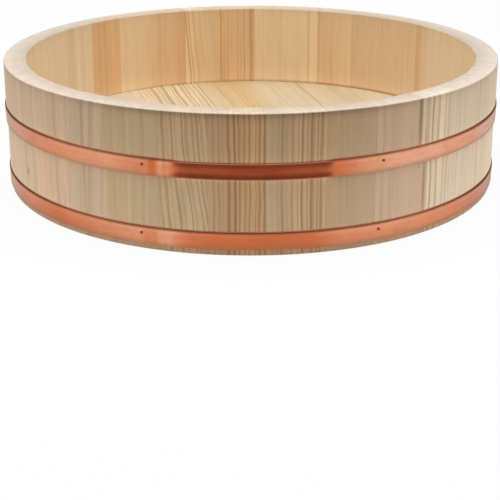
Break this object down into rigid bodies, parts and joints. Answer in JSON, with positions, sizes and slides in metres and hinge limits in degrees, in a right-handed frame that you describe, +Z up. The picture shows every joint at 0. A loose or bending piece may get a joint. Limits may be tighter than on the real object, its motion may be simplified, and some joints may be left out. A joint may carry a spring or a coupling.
{
  "type": "sushi rice tub",
  "caption": "Round coopered wooden tub with a flat boarded bottom and copper hoops, for cooling and mixing sushi rice.",
  "frame": {"origin": "middle of the foot, on the surface that the tub stands on", "axes": "+Z up along the axis of the tub, -Y towards the front as pictured, +X to the right"},
  "size_m": [0.3314, 0.3331, 0.085],
  "materials": {
    "stave_wood": "planed, unvarnished softwood",
    "bottom_wood": "planed, unvarnished softwood",
    "copper": "satin copper",
    "nail_steel": "dark, oxidised",
    "bamboo": "split bamboo"
  },
  "bodies": {
    "root": {"stave_01": "stave_wood", "stave_02": "stave_wood", "stave_03": "stave_wood", "stave_04": "stave_wood", "stave_05": "stave_wood", "stave_06": "stave_wood", "stave_07": "stave_wood", "stave_08": "stave_wood", "stave_09": "stave_wood", "stave_10": "stave_wood", "stave_11": "stave_wood", "stave_12": "stave_wood", "stave_13": "stave_wood", "stave_14": "stave_wood", "stave_15": "stave_wood", "stave_16": "stave_wood", "stave_17": "stave_wood", "stave_18": "stave_wood", "stave_19": "stave_wood", "stave_20": "stave_wood", "stave_21": "stave_wood", "stave_22": "stave_wood", "stave_23": "stave_wood", "stave_24": "stave_wood", "stave_25": "stave_wood", "stave_26": "stave_wood", "stave_27": "stave_wood", "stave_28": "stave_wood", "stave_29": "stave_wood", "stave_30": "stave_wood", "stave_31": "stave_wood", "stave_32": "stave_wood", "stave_33": "stave_wood", "bottom_board_1": "bottom_wood", "bottom_board_2": "bottom_wood", "bottom_board_3": "bottom_wood", "bottom_board_4": "bottom_wood", "upper_hoop": "copper", "lower_hoop": "copper", "upper_hoop_nails": "nail_steel", "lower_hoop_nails": "nail_steel", "upper_hoop_rivets": "copper", "lower_hoop_rivets": "copper", "stave_pegs": "bamboo", "bottom_pegs": "bamboo"}
  },
  "joints": []
}
